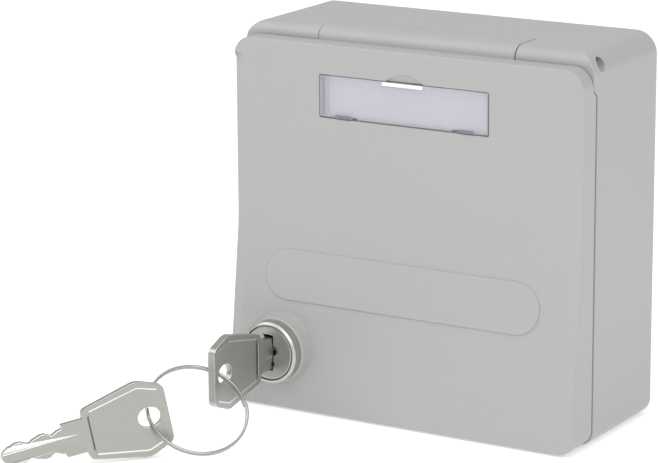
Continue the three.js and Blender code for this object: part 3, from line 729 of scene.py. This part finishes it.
# ---- Inside --------------------------------------------------------------------------------------
def keeper_plate():
    low, high = node_box("keeper_plate")
    thick = 1.2
    upright = 1.8
    profile = [(low.y, low.z), (high.y, low.z), (high.y, low.z + thick),
               (low.y + upright, low.z + thick), (low.y + upright, high.z), (low.y, high.z)]
    made = prism("x", profile, low.x, high.x)
    for x in KEEPER_HOLES:
        cut(made, prism("z", disc(x, -2, 1.6, 24), low.z - 1, low.z + 3))
    return soften(made, 0.25, 3, 50)


def baffle():
    low, high = baffle_low, baffle_high
    made = prism("x", softened([(low.y, low.z), (high.y, low.z), (high.y, high.z), (low.y, high.z)],
                               1.5), low.x, high.x)
    cut(made, prism("x", arch(-6, 12, 0, 16), low.x - 1, high.x + 1))
    return soften(made, 0.3, 3, 50)


def bait_tray():
    low, high = tray_low, tray_high
    wall = 1.4
    made = prism("z", rounded(low.x, high.x, low.y, high.y, 4, 8), low.z, high.z)
    inner = (low.x + wall, high.x - wall, low.y + wall, high.y - wall)
    floor = low.z + 1.45
    pan = stack("z", [(floor, rounded(inner[0] + 1, inner[1] - 1, inner[2] + 1, inner[3] - 1, 1.8, 8)),
                      (floor + 0.35, rounded(inner[0] + 0.3, inner[1] - 0.3, inner[2] + 0.3,
                                             inner[3] - 0.3, 2.5, 8)),
                      (floor + 1, rounded(*inner, 2.8, 8)), (high.z + 5, rounded(*inner, 2.8, 8))])
    cut(made, pan, prism("x", rounded(-8, 8, 8.5, 30, 3), low.x - 2, low.x + 4))
    return soften(made, 0.35, 3, 50)


def bait_rod():
    radius = (rod_high.z - rod_low.z) / 2
    y, z = (rod_low.y + rod_high.y) / 2, (rod_low.z + rod_high.z) / 2
    return soften(prism("x", disc(y, z, radius, 40), rod_low.x, rod_high.x), 0.35, 3, 50)


def rod_clip(side):
    low, high = node_box(f"rod_clip_{side}")
    x = (low.x + high.x) / 2
    y, z = (rod_low.y + rod_high.y) / 2, (rod_low.z + rod_high.z) / 2
    arm = rounded(low.y, high.y, z - 3.6, z + 3.6, 3, 8)
    plate = rounded(x - 4, x + 4, low.z, high.z, 1.5, 6)
    made = add(prism("x", arm, x - 1.2, x + 1.2), prism("y", plate, high.y - 1.8, high.y))
    cut(made, prism("x", disc(y, z, 1.8, 32), x - 3, x + 3),
        prism("y", disc(x, CLIP_BOSS_Z, 1.7, 24), 10, 16))
    return soften(made, 0.22, 2, 50)


def bait_block(where):
    """A pressed block: a fluted square bar with a hole for the rod and crumbled end edges."""
    low, high = node_box(f"bait_block_{where}")
    y, z = (low.y + high.y) / 2, (low.z + high.z) / 2

    def outline(shrink):
        points = []
        for i in range(96):
            angle = 2 * math.pi * i / 96
            square = 10.6 / max(abs(math.cos(angle)), abs(math.sin(angle)))
            radius = min(square, 12.6) - 0.3 * (1 + math.cos(16 * angle)) - shrink
            points.append((y + radius * math.cos(angle), z + radius * math.sin(angle)))
        return points

    levels = [(low.x, outline(0.7)), (low.x + 0.3, outline(0.25)), (low.x + 0.8, outline(0)),
              (high.x - 0.8, outline(0)), (high.x - 0.3, outline(0.25)), (high.x, outline(0.7))]
    return cut(stack("x", levels), prism("x", disc(y, z, 2.2, 32), low.x - 1, high.x + 1))


# ---- Keys and ring -------------------------------------------------------------------------------
def key_outline():
    half, bow = KEY["blade_half"], KEY["bow"]
    at, wide, end, shoulder = KEY["widest_at"], KEY["widest_half"], KEY["end_half"], KEY["shoulder_half"]
    corner = [(0, shoulder), (at, wide), (bow, end)]
    bow_points = softened([*[(x, -y) for x, y in corner], *reversed(corner)], 1.5, 6)
    lower = [p for p in bow_points if p[1] < 0]
    upper = [p for p in bow_points if p[1] > 0]
    # The cut edge, from the shoulder to the tip, as distance and depth of cut.
    cuts = [(5.3, 0), (5.4, 0.15), (5.55, 1.1), (6.6, 1.25), (7.4, 1.7), (8.2, 2.0), (8.9, 1.7),
            (9.7, 1.15), (11, 1.15), (12, 1.5), (13.1, 1.8), (13.6, 2.2), (14.4, 2.3), (15.3, 1.8),
            (16.4, 1.45), (17.5, 1.5), (18.5, 1.9), (19.4, 2.0), (20.2, 2.45), (20.9, 3.1), (21.25, 3.6),
            (21.38, 4.0)]
    top = [(-x, half - depth) for x, depth in cuts]
    return [(0, -half), *lower, *upper, (0, half), *top, *[(x, -y) for x, y in reversed(top)]]


def run_out_groove(side, start, deep_at, edge_at, depth):
    """A groove that starts as a point near the shoulder and deepens towards the tip."""
    face = side * KEY["thickness"] / 2
    end = -KEY["blade"] - 1
    above = face + side * 0.3
    at = side * deep_at
    rim = side * edge_at
    near = [(-start, at, face + side * 0.01), (-start, at, above), (-start, at + side * 0.01, above)]
    far = [(end, at, face - side * depth), (end, at, above), (end, rim, above)]
    foot = [(end, rim, face)]
    return solid([*near, *far, *foot],
                 [(0, 1, 2), (3, 6, 5, 4), (0, 3, 4, 1), (1, 4, 5, 2), (0, 2, 5, 6), (0, 6, 3)])


def key_solid(finish):
    t = KEY["thickness"]
    made = prism("z", key_outline(), -t / 2, t / 2)
    hole = [(KEY["hole"] + 3 * math.cos(a), 2.5 * math.sin(a))
            for a in [2 * math.pi * i / 48 for i in range(48)]]
    cut(made, prism("z", hole, -t, t))
    for side in (-1, 1):
        at, wide, end = KEY["widest_at"], KEY["widest_half"] - 1.9, KEY["end_half"] - 1.0
        outlines = []
        for spread in (0.28, 0.0):
            corner = [(2 - spread, KEY["shoulder_half"] - 1.0 + spread), (at, wide + spread),
                      (KEY["bow"] - 1.8 + spread, end + spread)]
            outlines.append(softened([*[(x, -y) for x, y in corner], *reversed(corner)], 0.5, 3))
        face = side * t / 2
        levels = [(face + side, outlines[0]), (face, outlines[0]), (face - side * 0.22, outlines[1])]
        cut(made, stack("z", levels))
        line = stack("z", [(face + side * 0.1, rounded(1.4, 1.7, -4.3, 4.3, 0.12, 3)),
                           (face - side * 0.25, rounded(1.4, 1.66, -4.3, 4.3, 0.12, 3))])
        cut(made, line, run_out_groove(side, 1.0, 0.75, 2.7, 0.62),
            run_out_groove(side, 3.2, -1.7, -2.5, 0.55))
    soften(made, 0.13, 2, 50)
    made.data.materials.append(finish)
    made.data.materials.append(FINISH["key_painted_highlight"])
    for face in made.data.polygons:
        x, y, z = face.center
        # Painted highlight: tilted faces along the blade's grooves and the bow panel's edges take the
        # near-white copy.
        tilted = 0.35 < abs(face.normal.z) < 0.985
        on_blade = x < -0.5 and abs(y) < KEY["blade_half"] - 0.4 and y * z > 0
        on_panel = x > 2.2 and abs(face.normal.y) > 0.3 and abs(z) < t / 2 - 0.02
        if tilted and (on_blade or on_panel):
            face.material_index = 1
    return made


def split_ring():
    """Two close turns of round wire with flat-cut ends, laid about the Z axis."""
    sides, steps = 16, 240
    vertices = []
    for k in range(steps + 1):
        t = k / steps
        angle = 4 * math.pi * t + RING["start"]
        lift = RING["pitch"] * (2 * t - 1)
        for i in range(sides):
            turn = 2 * math.pi * i / sides
            radius = RING["radius"] + RING["wire"] * math.cos(turn)
            vertices.append((radius * math.cos(angle), radius * math.sin(angle),
                             lift + RING["wire"] * math.sin(turn)))
    faces = [tuple(range(sides)), tuple(range(steps * sides, (steps + 1) * sides))]
    for k in range(steps):
        a, b = k * sides, (k + 1) * sides
        faces += [(a + i, a + (i + 1) % sides, b + (i + 1) % sides, b + i) for i in range(sides)]
    return solid(vertices, faces)


# ---- Assembly ------------------------------------------------------------------------------------
def stand_up(matrix_rows, place):
    matrix = Matrix(matrix_rows).transposed().to_4x4()
    matrix.translation = Vector(place)
    return matrix


SHOULDER_Y = -39.15
IN_LOCK = stand_up(((0, -1, 0), (0, 0, 1), (-1, 0, 0)), (LOCK_X, SHOULDER_Y, LOCK_Z))
SPARE_AT = (-52.3, -90.15, 7.2)
RING_AT = (-34.4, -67.25, 10.2)
LYING = (Matrix.Translation(SPARE_AT) @ Matrix.Rotation(math.radians(49), 4, "Z")
         @ Matrix.Rotation(math.radians(84.2), 4, "X") @ Matrix.Rotation(math.radians(10), 4, "Z"))
RING_NORMAL = Vector((0.539, -0.407, 0.738)).normalized()
ON_KEYS = (Matrix.Translation(RING_AT)
           @ Vector((0, 0, 1)).rotation_difference(RING_NORMAL).to_matrix().to_4x4())

piece("base_shell", base_shell(), "housing", "base_housing")
pin = soften(prism("x", disc(PIN_Y, PIN_Z, (pin_high.z - pin_low.z) / 2, 48), pin_low.x, pin_high.x),
             0.3, 3, 50)
piece("pin", pin, "steel", "hinge_pin", finish=FINISH["pin_metal"])
piece("keeper", keeper_plate(), "steel", "keeper_plate")
for side, x in zip(("left", "right"), KEEPER_HOLES):
    upright = Matrix.Translation((x, -2, 4.2)) @ Matrix.Rotation(math.radians(-90), 4, "X")
    piece(f"keeper_fixing_{side}", screw(1.0, 2.6, 2.8, 1.5), "steel", f"keeper_screw_{side}", upright)
piece("baffle_sheet", baffle(), "housing", "baffle")
piece("tray", bait_tray(), "tray", "bait_tray")
piece("rod", bait_rod(), "steel", "bait_rod")
for side, x in zip(("left", "right"), CLIP_X):
    piece(f"clip_{side}", rod_clip(side), "tray", f"rod_clip_{side}")
    piece(f"clip_fixing_{side}", screw(1.1, 2.8, 3.4, 1.7), "steel", f"rod_clip_screw_{side}",
          Matrix.Translation((x, 12.0, CLIP_BOSS_Z)))
for where in ("left", "middle", "right"):
    piece(f"bait_{where}", bait_block(where), "bait", f"bait_block_{where}")

piece("lid_panel", lid_panel(), "housing", "lid_shell")
piece("card", label_card(), "card", "label_card")
piece("window_cover", window_cover(), "window", "label_window")
piece("lock_head", lock_head(), "lock_metal", "lock_housing")
piece("fixing_washer", ring_plate("lock_washer", LOCK_HOLE), "steel", "lock_washer")
piece("fixing_nut", lock_nut(), "lock_metal", "lock_nut")
piece("plug_face", lock_plug(), "lock_metal", "lock_plug", finish=FINISH["plug_metal"])
piece("cam_blade", lock_cam(), "steel", "lock_cam")
piece("cam_ring", ring_plate("cam_washer", 1.75), "steel", "cam_washer")
facing_wall = (Matrix.Translation((LOCK_X, LOCK_REAR + 5.1, LOCK_Z))
               @ Matrix.Rotation(math.radians(180), 4, "Z"))
piece("cam_fixing", screw(1.35, 3.3, 6.2, 1.9), "steel", "cam_screw", facing_wall)
piece("inserted_key", key_solid(FINISH["key_metal"]), "key_metal", "key", IN_LOCK)
piece("second_key", key_solid(FINISH["spare_metal_shaded_copy"]), "key_metal", "spare_key", LYING)
piece("wire_ring", split_ring(), "steel", "split_ring", ON_KEYS, FINISH["wire"])


# ---- Camera, floor and light ---------------------------------------------------------------------
AZIMUTH, ELEVATION, ROLL = (math.radians(a) for a in (31.376, 13.979, 0.355))
EYE = (0.37342, -0.672336, 0.237212)


def camera():
    data = bpy.data.cameras.new("camera")
    data.lens = 167.6
    data.sensor_width = 36
    data.clip_start, data.clip_end = 0.01, 100
    made = bpy.data.objects.new("camera", data)
    bpy.context.scene.collection.objects.link(made)
    right = Vector((math.cos(AZIMUTH), math.sin(AZIMUTH), 0))
    back = Vector((math.sin(AZIMUTH) * math.cos(ELEVATION), -math.cos(AZIMUTH) * math.cos(ELEVATION),
                   math.sin(ELEVATION)))
    up = back.cross(right)
    c, s = math.cos(ROLL), math.sin(ROLL)
    made.matrix_world = stand_up((right * c - up * s, right * s + up * c, back), EYE)
    bpy.context.scene.camera = made


def floor():
    reach = 12
    made = solid([(-reach, -reach, 0), (reach, -reach, 0), (reach, reach, 0), (-reach, reach, 0)],
                 [(0, 1, 2, 3)])
    made.name = "floor"
    made.location.z = -0.0002
    paper = surface("pale_floor", (0.8, 0.8, 0.8), 0.8, mottle=0.01, mottle_size=60, grain=2,
                    depth=0.01)
    shader = paper.node_tree.nodes["Principled BSDF"]
    shader.inputs["Specular IOR Level"].default_value = 0.1
    shader.inputs["Emission Color"].default_value = (1, 1, 1, 1)
    shader.inputs["Emission Strength"].default_value = 0.4
    made.data.materials.append(paper)


def lamp(name, place, target, size, power):
    data = bpy.data.lights.new(name, "AREA")
    data.shape = "RECTANGLE"
    data.size, data.size_y = size
    data.energy = power
    made = bpy.data.objects.new(name, data)
    bpy.context.scene.collection.objects.link(made)
    made.location = place
    made.rotation_mode = "QUATERNION"
    made.rotation_quaternion = (Vector(target) - Vector(place)).to_track_quat("-Z", "Y")


def studio():
    world = bpy.data.worlds.new("studio")
    bpy.context.scene.world = world
    world.use_nodes = True
    backdrop = world.node_tree.nodes["Background"]
    backdrop.inputs["Color"].default_value = (1, 1, 1, 1)
    backdrop.inputs["Strength"].default_value = 0.6
    middle = (0, -0.02, 0.05)
    lamp("key_light", (0.64, -0.72, 0.85), middle, (1.0, 1.0), 6.9)
    lamp("left_light", (-0.72, -0.55, 0.85), middle, (0.8, 0.8), 3.6)
    lamp("top_light", (0, -0.1, 1.3), middle, (0.7, 0.7), 3.4)
    bpy.context.scene.view_settings.view_transform = "Standard"


camera()
floor()
studio()
